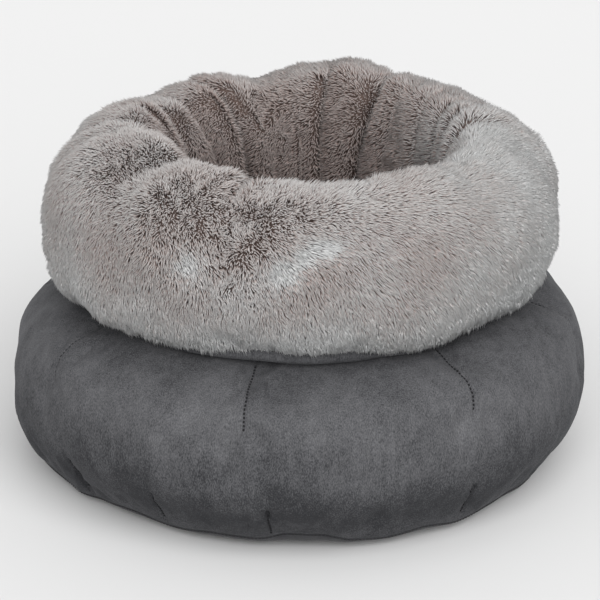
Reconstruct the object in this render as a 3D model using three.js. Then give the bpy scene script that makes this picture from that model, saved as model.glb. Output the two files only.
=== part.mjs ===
// Pet cushion bed: a puffy suede base ring with a plush-lined well, a plush collar
// sewn on top of it, and a loose cushion on the floor of the well.
// Millimetres, +Z up, origin at the middle of the flat underside, front towards -Y.
import * as THREE from 'three';

// ---- Driving dimensions -------------------------------------------------------

const gap = 0.3; // clearance between neighbouring pieces
const facets = 32; // flats round every turned piece

const baseRadius = 225; // widest radius of the base
const baseWidestHeight = 75; // height of that widest ring
const baseTopHeight = 152; // crown of the base, under the collar
const footRadius = 164; // flat part of the underside
const lowerFullness = 2.3; // 2 is an ellipse, more is boxier
const upperFullness = 2.7;
const bottomSeamHeight = 14; // seam between the bottom panel and the side panel
const fabricThickness = 2; // suede and anti-slip fabric

const wellRadius = 106; // inside of the plush lining
const plushThickness = 8; // plush backing with its pile half pressed down
const floorHeight = 22; // top of the sewn-in floor of the well
const neckJoin = 1; // height from the base's crown to the foot of the collar's throat

const collarRingRadius = 137; // from the bed's axis to the collar's crest
const collarHalfWidth = 66.6; // from the crest out to the collar's side
const collarMiddleRise = 50; // from the base's crown to the collar's widest ring
const collarUpperReach = 68; // from that ring up to the crest
const collarLowerReach = 69; // from that ring down to where the curve would close
const collarFullness = 2.24;
const throatRadius = 104; // narrowest part of the collar
const throatDrop = 56; // from the crest down to the throat
const hemDrop = 1; // from the base's crown down to the collar's outer hem
const seatDrop = 3.3; // the collar lies on the base down to this far below its crown

const seamRowRadius = 0.8; // half the thickness of a row of stitches
const neckRowRadius = 1; // the neck seam holds four layers and is thicker
const dartRowWidth = 1.6; // a tuck's stitches, across
const dartRowHeight = 1; // and how far they stand up
const upperDartLow = 106; // height where the upper tucks end
const upperDartDrop = 6; // from the base's crown down to where they begin
const lowerDartHigh = 48; // height where the lower tucks end
const upperDartAngles = [-106, -57, -10, 35.5, 79, 121, 163, -152]; // from the front, degrees
const lowerDartAngles = [-100, -52, -30, -6, 36, 82, 128, 175];

const cushionClearance = 3; // between the loose cushion and the throat
const cushionHeight = 52; // thickness of the loose cushion
const cushionSeamRise = 24.7; // from its underside to its piping seam
const cushionSeamBand = 2; // upright cloth on each side of that seam
const cushionFlatRadius = 80; // where it lies flat on the floor
const cushionFullness = 2.4;
const coverThickness = 1.6;
const coverRowRadius = 0.6;

// ---- Sizes that follow from them ----------------------------------------------

const wellWall = wellRadius + plushThickness;
const neckRadius = wellWall + 2 * (neckRowRadius + gap);
const neckHeight = baseTopHeight + neckJoin;
const collarMiddle = baseTopHeight + collarMiddleRise;
const hemHeight = baseTopHeight - hemDrop;
const cushionRadius = throatRadius - cushionClearance;
const cushionFloor = floorHeight + gap;
const cushionSeam = cushionFloor + cushionSeamRise;

// ---- Outlines in the plane of radius and height --------------------------------

const snap = (value) => Math.round(value * 1e6) / 1e6;
const at = (radius, height) => new THREE.Vector2(snap(radius), snap(height));

// The angle on a rounded arch at which it has gone this share of its reach upwards.
function angleAtShare(share, fullness) {
  return THREE.MathUtils.radToDeg(Math.asin(share ** (fullness / 2)));
}

// A quarter of a rounded box: 0 degrees is its side, 90 degrees is its top or bottom.
function arch(centre, reach, fullness, fromDegrees, toDegrees, steps) {
  return Array.from({ length: steps + 1 }, (_, i) => {
    const angle = THREE.MathUtils.degToRad(fromDegrees + ((toDegrees - fromDegrees) * i) / steps);
    const across = Math.max(Math.cos(angle), 0) ** (2 / fullness);
    const along = Math.max(Math.sin(angle), 0) ** (2 / fullness);
    return at(centre.x + reach.x * across, centre.y + reach.y * along);
  });
}

function leftOf(from, to) {
  const heading = to.clone().sub(from).normalize();
  return new THREE.Vector2(-heading.y, heading.x);
}

// A line moved sideways, to the left as it runs, keeping its distance on every stretch.
function offset(line, distance) {
  return line.map((point, i) => {
    const after = i < line.length - 1 ? leftOf(point, line[i + 1]) : leftOf(line[i - 1], point);
    const before = i > 0 ? leftOf(line[i - 1], point) : after;
    const both = before.clone().add(after);
    const move = both.multiplyScalar((2 * distance) / both.lengthSq());
    return at(point.x === 0 ? 0 : point.x + move.x, point.y + move.y);
  });
}

// The point of a rising line at a height.
function pointAt(line, height) {
  const i = line.findIndex((point) => point.y >= height);
  const share = (height - line[i - 1].y) / (line[i].y - line[i - 1].y);
  return line[i - 1].clone().lerp(line[i], share);
}

// The stretch of a rising line between two heights, with its corners kept.
function between(line, low, high) {
  const inside = line.filter((point) => point.y > low && point.y < high);
  return [pointAt(line, low), ...inside, pointAt(line, high)];
}

// A wall that lies on the left of a line.
const wall = (line, thickness) => [...line, ...offset(line, thickness).reverse()];

function ringOutline(radius, height, rowRadius) {
  const sides = 6;
  return Array.from({ length: sides }, (_, i) => {
    const angle = (i * 2 * Math.PI) / sides;
    return at(radius + rowRadius * Math.cos(angle), height + rowRadius * Math.sin(angle));
  });
}

// ---- Solids ---------------------------------------------------------------------

const finishes = {
  suede: { color: 0x545456, roughness: 0.95, metalness: 0 },
  antiSlip: { color: 0x37373a, roughness: 0.9, metalness: 0 },
  plush: { color: 0xa09c98, roughness: 1, metalness: 0 },
  fibre: { color: 0xeeeeea, roughness: 1, metalness: 0 },
  thread: { color: 0x3e3e40, roughness: 0.8, metalness: 0 },
};

function piece(name, geometry, finish) {
  const mesh = new THREE.Mesh(geometry, new THREE.MeshStandardMaterial(finishes[finish]));
  mesh.name = name;
  return mesh;
}

// An outline, counter-clockwise, turned round the bed's axis.
function turned(outline) {
  const onAxis = outline[0].x === 0 && outline.at(-1).x === 0;
  const line = onAxis ? outline : [...outline, outline[0].clone()];
  return new THREE.LatheGeometry(line, facets).rotateX(Math.PI / 2);
}

// How far in a flat of a turned piece lies at this angle, as a share of its corner's radius.
function flatShare(degrees) {
  const half = Math.PI / facets;
  const turn = THREE.MathUtils.euclideanModulo(THREE.MathUtils.degToRad(degrees), 2 * half);
  return Math.cos(half) / Math.cos(turn - half);
}

// A flat row of stitches that stands on the outside of a turned wall, at one angle.
function dartRow(line, degrees) {
  const share = flatShare(degrees);
  const outline = wall(offset(line, -gap - dartRowHeight), dartRowHeight);
  const shape = new THREE.Shape(outline.map((point) => at(point.x * share, point.y)));
  const row = new THREE.ExtrudeGeometry(shape, { depth: dartRowWidth, bevelEnabled: false });
  row.rotateX(Math.PI / 2);
  row.translate(0, dartRowWidth / 2, 0);
  return row.rotateZ(THREE.MathUtils.degToRad(degrees - 90));
}

// ---- Base -----------------------------------------------------------------------

// The base's outside: from the edge of its flat foot out, up and in to the neck.
function baseLine() {
  const foot = at(footRadius, baseWidestHeight);
  const outward = at(baseRadius - footRadius, -baseWidestHeight);
  const neck = at(neckRadius, baseWidestHeight);
  const upward = at(baseRadius - neckRadius, baseTopHeight - baseWidestHeight);
  return [
    ...arch(foot, outward, lowerFullness, 90, 0, 6),
    ...arch(neck, upward, upperFullness, 0, 90, 7).slice(1),
  ];
}

const bottomLine = [
  at(0, 0),
  at(footRadius, 0),
  ...between(baseLine(), gap, bottomSeamHeight).slice(1),
];
const sideLine = between(baseLine(), bottomSeamHeight + gap, baseTopHeight);

function baseFilling() {
  const inset = fabricThickness + gap;
  const inner = wellWall + gap;
  const floor = offset(bottomLine, inset).slice(1, -1);
  const sides = offset(sideLine, inset);
  return [at(inner, inset), ...floor, ...sides, at(inner, baseTopHeight - inset)];
}

function floorDisc(low, high) {
  return [at(0, low), at(wellWall, low), at(wellWall, high), at(0, high)];
}

function liningTube() {
  const low = floorHeight + gap;
  const high = neckHeight - gap;
  return [at(wellRadius, low), at(wellWall, low), at(wellWall, high), at(wellRadius, high)];
}

// A ring of stitches on the outside of a corner that two walls share.
function rowOutside(line, rowRadius) {
  const start = offset(line.slice(0, 2), -gap - rowRadius)[0];
  return ringOutline(start.x, start.y, rowRadius);
}

function baseParts() {
  const floorLow = floorHeight - fabricThickness;
  const floorRow = coverRowRadius + gap;
  return [
    piece('bottom_panel', turned(wall(bottomLine, fabricThickness)), 'antiSlip'),
    piece('base_side_panel', turned(wall(sideLine, fabricThickness)), 'suede'),
    piece('base_ring_filling', turned(baseFilling()), 'fibre'),
    piece('floor_wadding', turned(floorDisc(fabricThickness + gap, floorLow - gap)), 'fibre'),
    piece('floor_panel', turned(floorDisc(floorLow, floorHeight)), 'plush'),
    piece('well_lining', turned(liningTube()), 'plush'),
    piece('bottom_seam_thread', turned(rowOutside(sideLine, seamRowRadius)), 'thread'),
    piece(
      'neck_seam_thread',
      turned(ringOutline(neckRadius - gap - neckRowRadius, baseTopHeight - neckRowRadius, neckRowRadius)),
      'thread',
    ),
    piece(
      'floor_seam_thread',
      turned(ringOutline(wellRadius - floorRow, floorHeight + floorRow, coverRowRadius)),
      'thread',
    ),
  ];
}

function dartParts() {
  const upperLine = between(sideLine, upperDartLow, baseTopHeight - upperDartDrop);
  const lowerLine = between(sideLine, bottomSeamHeight + 3 * seamRowRadius, lowerDartHigh);
  const rows = (name, line, angles) =>
    angles.map((angle, i) => piece(`${name}_${i + 1}`, dartRow(line, angle), 'thread'));
  return [
    ...rows('upper_dart_thread', upperLine, upperDartAngles),
    ...rows('lower_dart_thread', lowerLine, lowerDartAngles),
  ];
}

// ---- Collar -----------------------------------------------------------------------

// The plush's outside: from the hem out and up over the crest, and down to the neck.
function plushLine() {
  const crest = collarMiddle + collarUpperReach;
  const middle = at(collarRingRadius, collarMiddle);
  const hemAngle = angleAtShare((collarMiddle - hemHeight) / collarLowerReach, collarFullness);
  const under = at(collarHalfWidth, -collarLowerReach);
  const over = at(collarHalfWidth, collarUpperReach);
  const throat = at(collarRingRadius, crest - throatDrop);
  const inward = at(throatRadius - collarRingRadius, throatDrop);
  return [
    ...arch(middle, under, collarFullness, hemAngle, 0, 4),
    ...arch(middle, over, collarFullness, 0, 90, 6).slice(1),
    ...arch(throat, inward, collarFullness, 90, 0, 4).slice(1),
    at(wellRadius, neckHeight),
  ];
}

// The lower face of the collar's suede underside, from its hem in to the neck.
function undersideLine() {
  const seat = offset(between(sideLine, baseTopHeight - seatDrop, baseTopHeight), -gap);
  return [at(plushLine()[0].x, hemHeight - gap - fabricThickness), ...seat];
}

function collarFilling() {
  const inside = offset(plushLine(), plushThickness + gap);
  const floor = offset(undersideLine(), -fabricThickness - gap).reverse();
  const outer = at(inside[0].x - gap, floor.at(-1).y);
  const inner = at(wellWall + gap, floor[0].y);
  return [...inside.slice(0, -1), inner, ...floor.slice(0, -1), outer];
}

function collarParts() {
  const outside = plushLine();
  const underside = wall(offset(undersideLine(), -fabricThickness), fabricThickness);
  const hemRow = seamRowRadius + gap;
  return [
    piece('collar_plush', turned(wall(outside, plushThickness)), 'plush'),
    piece('collar_underside', turned(underside), 'suede'),
    piece('collar_filling', turned(collarFilling()), 'fibre'),
    piece(
      'hem_seam_thread',
      turned(ringOutline(outside[0].x + hemRow, hemHeight - hemRow, seamRowRadius)),
      'thread',
    ),
  ];
}

// ---- Loose cushion ------------------------------------------------------------------

function cushionLower() {
  const centre = at(cushionFlatRadius, cushionSeam - cushionSeamBand);
  const reach = at(cushionRadius - cushionFlatRadius, cushionFloor - centre.y);
  const side = arch(centre, reach, cushionFullness, 90, 0, 4);
  return [at(0, cushionFloor), ...side, at(cushionRadius, cushionSeam - gap / 2)];
}

function cushionUpper() {
  const centre = at(0, cushionSeam + cushionSeamBand);
  const reach = at(cushionRadius, cushionFloor + cushionHeight - centre.y);
  const crown = arch(centre, reach, cushionFullness, 0, 90, 6);
  return [at(cushionRadius, cushionSeam + gap / 2), ...crown];
}

function cushionParts() {
  const inset = coverThickness + gap;
  const filling = [...offset(cushionLower(), inset), ...offset(cushionUpper(), inset)];
  const row = coverRowRadius + gap;
  return [
    piece('cushion_bottom_cover', turned(wall(cushionLower(), coverThickness)), 'plush'),
    piece('cushion_top_cover', turned(wall(cushionUpper(), coverThickness)), 'plush'),
    piece('cushion_filling', turned(filling), 'fibre'),
    piece(
      'cushion_seam_thread',
      turned(ringOutline(cushionRadius + row, cushionSeam, coverRowRadius)),
      'thread',
    ),
  ];
}

// ---- Bed -------------------------------------------------------------------------------

const bed = new THREE.Group();
bed.add(...baseParts(), ...dartParts(), ...collarParts(), ...cushionParts());

export default bed;
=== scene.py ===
"""A round pet bed in faux suede and long plush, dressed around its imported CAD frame.

Angles go round the bed from its front, which faces -Y, towards +X. Lengths are in metres.
"""

from __future__ import annotations

import logging
from collections.abc import Callable
from dataclasses import dataclass, field, replace
from enum import Enum

import bpy
import numpy as np
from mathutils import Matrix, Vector

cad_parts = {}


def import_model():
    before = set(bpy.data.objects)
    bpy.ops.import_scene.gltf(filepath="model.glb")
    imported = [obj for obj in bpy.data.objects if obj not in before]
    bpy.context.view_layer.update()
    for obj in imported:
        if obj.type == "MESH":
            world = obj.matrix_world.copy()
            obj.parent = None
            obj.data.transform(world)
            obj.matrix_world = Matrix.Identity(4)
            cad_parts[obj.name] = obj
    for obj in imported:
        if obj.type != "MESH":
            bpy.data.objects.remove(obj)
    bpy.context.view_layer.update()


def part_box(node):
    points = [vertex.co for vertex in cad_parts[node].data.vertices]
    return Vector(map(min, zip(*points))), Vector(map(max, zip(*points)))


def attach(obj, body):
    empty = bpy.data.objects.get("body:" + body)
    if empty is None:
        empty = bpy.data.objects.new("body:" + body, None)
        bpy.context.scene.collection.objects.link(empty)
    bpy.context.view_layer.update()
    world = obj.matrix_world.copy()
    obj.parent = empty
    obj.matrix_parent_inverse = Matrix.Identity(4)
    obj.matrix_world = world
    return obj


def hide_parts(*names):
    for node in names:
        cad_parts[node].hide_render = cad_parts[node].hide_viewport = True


LOG = logging.getLogger("pet_bed")
MM = 0.001
TURN = 2 * np.pi
BED = "bed"
CUSHION = "cushion"
PILE_MAP = "OFBake"

Array = np.ndarray
Material = bpy.types.Material
Piece = bpy.types.Object
Socket = bpy.types.NodeSocket
Pair = tuple[float, float]
Colour = tuple[float, float, float, float]
Places = tuple[Pair, ...]  # degrees round the bed and a value there
Plan = Callable[[Array, Array], Array]  # a value from the share of the rows and the angle


class Half(Enum):
    """Which half of a piece: the one over its seam or the one under it."""

    UPPER = "upper"
    LOWER = "lower"


# ---- Shapes worked out as whole arrays ---------------------------------------------


def arch(centre: Pair, reach: Pair, fullness: float, start: float, stop: float, count: int) -> Array:
    """A stretch of a rounded-box quarter, cos and sin of the angle raised to 2 / fullness.

    Args:
        centre: radius and height of the quarter's centre.
        reach: signed reach along radius and along height.
        fullness: 2 is an ellipse, more is boxier.
        start: first angle in degrees, 0 on the side and 90 on the top or bottom.
        stop: last angle in degrees.
        count: number of points.

    Returns:
        Radius and height of each point, as an array of count by 2.
    """
    angle = np.radians(np.linspace(start, stop, count))
    sides = np.stack([np.cos(angle), np.sin(angle)], axis=1).clip(0, 1) ** (2 / fullness)
    return np.asarray(centre) + np.asarray(reach) * sides


def angle_at_share(share: float, fullness: float) -> float:
    """The angle in degrees at which such a quarter has gone this share of its height."""
    return float(np.degrees(np.arcsin(share ** (fullness / 2))))


def evenly(line: Array, count: int) -> Array:
    """The same line with its points an equal length apart.

    Args:
        line: points as rows.
        count: number of points wanted.

    Returns:
        The new points, with the first and the last kept.
    """
    steps = np.linalg.norm(np.diff(line, axis=0), axis=1)
    run = np.concatenate([[0.0], np.cumsum(steps)])
    wanted = np.linspace(0, run[-1], count)
    return np.stack([np.interp(wanted, run, line[:, i]) for i in range(line.shape[1])], axis=1)


def inset(line: Array, distance: float) -> Array:
    """The line moved to its left by a distance, by its direction turned a quarter round."""
    heading = unit(np.gradient(line, axis=0))
    return line + distance * np.stack([-heading[:, 1], heading[:, 0]], axis=1)


def turned(radius: Array, height: Array, angle: Array) -> Array:
    """Points at a radius and a height, carried round the bed to an angle."""
    radius, height, angle = np.broadcast_arrays(radius, height, angle)
    return np.stack([radius * np.sin(angle), -radius * np.cos(angle), height], axis=-1)


def unit(ways: Array) -> Array:
    """The same directions with a length of 1."""
    return ways / np.linalg.norm(ways, axis=-1, keepdims=True)


def around(columns: int) -> Array:
    """Angles of evenly spaced columns round the bed."""
    return np.linspace(-np.pi, np.pi, columns, endpoint=False)


def apart(angle: Array, degrees: float) -> Array:
    """Signed turn from a place given in degrees to each angle, in radians, the short way."""
    return (angle - np.radians(degrees) + np.pi) % TURN - np.pi


def hump(distance: Array, width: float) -> Array:
    """A bell, exp(-(distance / width) squared)."""
    return np.exp(-((distance / width) ** 2))


def ease(value: Array, low: float, high: float) -> Array:
    """Rises smoothly from 0 at low to 1 at high, as 3 t squared less 2 t cubed."""
    share = np.clip((value - low) / (high - low), 0, 1)
    return share * share * (3 - 2 * share)


def swell(angle: Array, places: Places) -> Array:
    """A smooth closed curve through chosen heights round the bed, by cubic easing.

    Args:
        angle: angles to work it out at, in radians.
        places: pairs of degrees and value, in rising order.

    Returns:
        The value at each angle.
    """
    degrees = np.array([p[0] for p in places], float)
    values = np.array([p[1] for p in places], float)
    degrees = np.concatenate([[degrees[-1] - 360], degrees, [degrees[0] + 360]])
    values = np.concatenate([[values[-1]], values, [values[0]]])
    here = (np.degrees(angle) + 180) % 360 - 180
    i = np.clip(np.searchsorted(degrees, here, side="right") - 1, 0, len(degrees) - 2)
    share = (here - degrees[i]) / (degrees[i + 1] - degrees[i])
    share = share * share * (3 - 2 * share)
    return values[i] + (values[i + 1] - values[i]) * share


def ripple(points: Array, length: float, seed: int, waves: int = 20) -> Array:
    """Smooth random hills, a sum of cosine waves in random directions.

    Args:
        points: places, with two or three coordinates in the last axis.
        length: typical distance from hill to hill.
        seed: start of the random draw.
        waves: number of waves summed.

    Returns:
        A height for each point, with a spread of about 1.
    """
    draw = np.random.default_rng(seed)
    size = points.shape[-1]
    ways = draw.normal(size=(size, waves))
    ways *= draw.uniform(0.6, 1.4, waves) * TURN / length / np.linalg.norm(ways, axis=0)
    phases = draw.uniform(0, TURN, waves)
    total = np.cos(points.reshape(-1, size) @ ways + phases).sum(axis=1)
    return (total * np.sqrt(2 / waves)).reshape(points.shape[:-1])


@dataclass
class Sheet:
    """A sheet of cloth that goes all the way round the bed: rows by columns of points."""

    points: Array
    angles: Array

    def at(self, rows: Array, angle: Array) -> Array:
        """Points between the sheet's own, by cubic steps both ways.

        Args:
            rows: share of the way from the first row to the last.
            angle: angle round the bed, in radians, on a sheet of evenly spaced columns.

        Returns:
            The points, with three coordinates in the last axis.
        """
        count, columns = self.points.shape[:2]
        row = np.clip(rows, 0, 1) * (count - 1)
        column = (angle - self.angles[0]) / TURN * columns
        r, c = np.floor(row).astype(int), np.floor(column).astype(int)
        total = 0
        for i, across in enumerate(self.weights(row - r)):
            line = np.clip(r + i - 1, 0, count - 1)
            for j, along in enumerate(self.weights(column - c)):
                total = total + (across * along)[..., None] * self.points[line, (c + j - 1) % columns]
        return total

    @staticmethod
    def weights(share: Array) -> list[Array]:
        """The four Catmull-Rom weights at a share of the way between two points."""
        s, s2, s3 = share, share**2, share**3
        return [
            (-s + 2 * s2 - s3) / 2,
            (2 - 5 * s2 + 3 * s3) / 2,
            (s + 4 * s2 - 3 * s3) / 2,
            (s3 - s2) / 2,
        ]

    def resampled(self, rows: int, angles: Array) -> "Sheet":
        """The same sheet with other rows and columns."""
        share, angle = np.meshgrid(np.linspace(0, 1, rows), angles, indexing="ij")
        return Sheet(self.at(share, angle), angles)

    def slopes(self) -> tuple[Array, Array, Array]:
        """Unit normal, unit direction up the rows, and unit direction round, at each point.

        Returns:
            The normals, the directions up the rows and the directions round.
        """
        up = np.gradient(self.points, axis=0)
        turn = np.roll(self.points, -1, axis=1) - np.roll(self.points, 1, axis=1)
        normal = np.cross(turn, up)
        return unit(normal), unit(up), unit(turn)

    def moved_out(self, distance: Array) -> "Sheet":
        """The sheet moved along its normals by a distance for each point."""
        return Sheet(self.points + self.slopes()[0] * distance[..., None], self.angles)


def ring_quads(rows: int, columns: int, closed: bool = False) -> Array:
    """Quads between the rows of a grid that closes round its columns.

    Args:
        rows: number of rows.
        columns: number of columns, the last joined to the first.
        closed: whether the last row joins the first, as on a tube bent into a ring.

    Returns:
        Four point numbers for each quad, facing out where rows climb the outside.
    """
    row = np.arange(rows if closed else rows - 1)[:, None]
    column = np.arange(columns)[None, :]
    after, aside = (row + 1) % rows, (column + 1) % columns
    corners = [(row, column), (row, aside), (after, aside), (after, column)]
    return np.stack([r * columns + c for r, c in corners], axis=-1).reshape(-1, 4)


def mesh_piece(name: str, points: Array, faces: Array, body: str) -> Piece:
    """Makes an object from points and equal-sized faces, with its place in its mesh.

    Args:
        name: the piece's name.
        points: its points, in metres.
        faces: point numbers, one row for each face.
        body: the CAD body that it moves with.

    Returns:
        The new object, smooth and riding on the body.
    """
    mesh = bpy.data.meshes.new(name)
    count, corners = faces.shape
    mesh.vertices.add(len(points))
    mesh.vertices.foreach_set("co", np.ascontiguousarray(points, np.float32).ravel())
    mesh.loops.add(count * corners)
    mesh.loops.foreach_set("vertex_index", np.ascontiguousarray(faces, np.int32).ravel())
    mesh.polygons.add(count)
    mesh.polygons.foreach_set("loop_start", np.arange(0, count * corners, corners, dtype=np.int32))
    mesh.polygons.foreach_set("use_smooth", np.ones(count, bool))
    mesh.update(calc_edges=True)
    piece = bpy.data.objects.new(name, mesh)
    bpy.context.scene.collection.objects.link(piece)
    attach(piece, body)
    return piece


def cloth_piece(name: str, sheet: Sheet, body: str, wall: float, flipped: bool = False) -> Piece:
    """Makes a piece of cloth from a sheet, with its thickness on the inner side.

    Args:
        name: the piece's name.
        sheet: its outer face.
        body: the CAD body that it moves with.
        wall: its thickness.
        flipped: whether the sheet's rows run down its outside.

    Returns:
        The new object.
    """
    faces = ring_quads(*sheet.points.shape[:2])
    piece = mesh_piece(name, sheet.points.reshape(-1, 3), faces[:, ::-1] if flipped else faces, body)
    solid = piece.modifiers.new("wall", "SOLIDIFY")
    solid.thickness = wall
    solid.offset = -1
    return piece


def tube_piece(name: str, outline: Array, columns: int, body: str, lumps: float = 0) -> Piece:
    """A closed ring: an outline carried all the way round, with lumps where it is stuffed.

    Args:
        name: the piece's name.
        outline: radius and height of the outline's points, counter-clockwise, not repeated.
        columns: steps round the bed.
        body: the CAD body that it moves with.
        lumps: how far the surface rises and falls.

    Returns:
        The new object.
    """
    angle = around(columns)[None, :]
    points = turned(outline[:, :1], outline[:, 1:], angle)
    if lumps:
        hills = ripple(points, 0.05, seed=5) + ripple(points, 0.02, seed=6) / 2
        middle = turned(*[np.full((1, 1), v) for v in outline.mean(axis=0)], angle)
        points = points + unit(points - middle) * lumps * hills[..., None]
    faces = ring_quads(len(outline), columns, closed=True)
    return mesh_piece(name, points.reshape(-1, 3), faces, body)


def inflated(
    sheet: Sheet, pinned: Array, pressure: float, spare: float, cap: float, steps: int = 20
) -> Sheet:
    """Blows a pinned sheet up as cloth and returns its settled points.

    Args:
        sheet: the sheet before it is filled.
        pinned: whether the seams hold it, for each point.
        pressure: push of the filling.
        spare: how much larger the cloth is cut than the room that it has.
        cap: the furthest that a point may move.
        steps: frames of simulation.

    Returns:
        The sheet after the simulation, with the same rows and columns.
    """
    rows, columns = sheet.points.shape[:2]
    mesh = bpy.data.meshes.new("cloth_trial")
    mesh.from_pydata(sheet.points.reshape(-1, 3), [], ring_quads(rows, columns))
    trial = bpy.data.objects.new("cloth_trial", mesh)
    bpy.context.scene.collection.objects.link(trial)
    pins = trial.vertex_groups.new(name="pins")
    pins.add(np.flatnonzero(pinned.ravel()).tolist(), 1.0, "REPLACE")
    cloth = trial.modifiers.new("cloth", "CLOTH")
    cloth.settings.vertex_group_mass = "pins"
    cloth.settings.quality = 6
    cloth.settings.mass = 0.3
    cloth.settings.tension_stiffness = 20
    cloth.settings.compression_stiffness = 20
    cloth.settings.shear_stiffness = 8
    cloth.settings.bending_stiffness = 1.5
    cloth.settings.use_pressure = True
    cloth.settings.uniform_pressure_force = pressure
    cloth.settings.shrink_min = -spare
    cloth.settings.effector_weights.gravity = 0
    cloth.collision_settings.use_collision = False
    scene = bpy.context.scene
    cloth.point_cache.frame_start, cloth.point_cache.frame_end = 1, steps
    for frame in range(1, steps + 1):
        scene.frame_set(frame)
    shown = trial.evaluated_get(bpy.context.evaluated_depsgraph_get())
    settled = np.empty(rows * columns * 3, np.float32)
    shown.data.vertices.foreach_get("co", settled)
    scene.frame_set(1)
    bpy.data.objects.remove(trial)
    move = settled.reshape(sheet.points.shape).astype(float) - sheet.points
    far = np.linalg.norm(move, axis=-1, keepdims=True)
    return Sheet(sheet.points + move * np.minimum(1, cap / np.maximum(far, 1e-9)), sheet.angles)


# ---- Stitches -------------------------------------------------------------------------


@dataclass(frozen=True)
class Stitching:
    """A row of lockstitches: how long, wide and high each is, and the step between them."""

    pitch: float = 2.4 * MM
    length: float = 2.0 * MM
    width: float = 0.8 * MM
    height: float = 0.5 * MM
    sides: int = 6

    def row(self, name: str, path: Array, outward: Array, body: str, closed: bool = False) -> Piece:
        """Lays stitches along a path: each is a spindle, thick in its middle, pointed at its ends.

        Args:
            name: the piece's name.
            path: points that the row follows.
            outward: the cloth's normal at each of them.
            body: the CAD body that it moves with.
            closed: whether the path returns to its start.

        Returns:
            The new object, all the row's stitches in one piece.
        """
        if closed:
            path, outward = np.vstack([path, path[:1]]), np.vstack([outward, outward[:1]])
        run = np.concatenate([[0], np.cumsum(np.linalg.norm(np.diff(path, axis=0), axis=1))])
        count = max(int(run[-1] / self.pitch), 2)
        middle = (np.arange(count) + 0.5) * run[-1] / count

        def along(values: Array, places: Array) -> Array:
            """Values between the path's points, at lengths along it."""
            return np.stack([np.interp(places, run, values[:, i]) for i in range(3)], axis=1)

        centre = along(path, middle)
        heading = unit(along(path, middle + self.length / 2) - along(path, middle - self.length / 2))
        normal = along(outward, middle)
        normal = unit(normal - heading * (normal * heading).sum(axis=1, keepdims=True))
        side = np.cross(heading, normal)
        rings = np.array([-0.46, -0.2, 0.2, 0.46])
        girth = np.array([0.45, 1.0, 1.0, 0.45])
        turn = np.arange(self.sides) * TURN / self.sides
        local = np.stack(
            [
                np.repeat(rings, self.sides) * self.length,
                np.outer(girth, np.cos(turn)).ravel() * self.width / 2,
                np.outer(girth, np.sin(turn)).ravel() * self.height / 2,
            ],
            axis=1,
        )
        tips = np.array([[-0.5 * self.length, 0, 0], [0.5 * self.length, 0, 0]])
        local = np.vstack([local, tips])
        axes = np.stack([heading, side, normal], axis=1)
        points = centre[:, None] + np.einsum("pk,nkc->npc", local, axes)
        quads = ring_quads(len(rings), self.sides)
        halves = np.vstack([quads[:, [0, 1, 2]], quads[:, [0, 2, 3]]])
        around_ring = np.arange(self.sides)
        after = (around_ring + 1) % self.sides
        last = (len(rings) - 1) * self.sides
        start_cap = np.stack([after, around_ring, np.full(self.sides, len(local) - 2)], axis=1)
        end_cap = np.stack([around_ring + last, after + last, np.full(self.sides, len(local) - 1)], axis=1)
        one = np.vstack([halves, start_cap, end_cap])[:, ::-1]
        faces = (one[None] + np.arange(count)[:, None, None] * len(local)).reshape(-1, 3)
        return mesh_piece(name, points.reshape(-1, 3), faces, body)

    def seam(self, name: str, path: Array, outward: Array, body: str, thread: Material, node: str) -> None:
        """Lays a row of stitches all the way round the bed and dresses it."""
        dress(self.row(name, path, outward, body, closed=True), thread, "thread", node)


# ---- Pile -------------------------------------------------------------------------------


@dataclass(frozen=True)
class Brushed:
    """A place where a hand has stroked the pile flat: where, how wide, and which way it lies."""

    angle: float
    row: float
    across: float
    along: float
    turn: float
    flatten: float


@dataclass(frozen=True)
class Lie:
    """How the pile lies over a sheet, each a function of the share of its rows and the angle.

    hang is how hard it is combed down, calm how smoothly it lies from 0 to 1, and
    tone_and_painted_shading is added to its tone: painted shade and painted light, with some plain tone.
    brushed are the places where it is stroked flat.
    """

    hang: Plan
    calm: Plan
    tone_and_painted_shading: Plan
    brushed: tuple[Brushed, ...] = ()


def nowhere(row: Array, angle: Array) -> Array:
    """Nothing at every place, for a lie that is the same all over."""
    return np.zeros(len(row))


EVEN = Lie(nowhere, nowhere, nowhere)
LEANS = ((0.3, 50 * MM), (0.75, 12 * MM))  # the share and the length of each wave that the locks lean in


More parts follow.
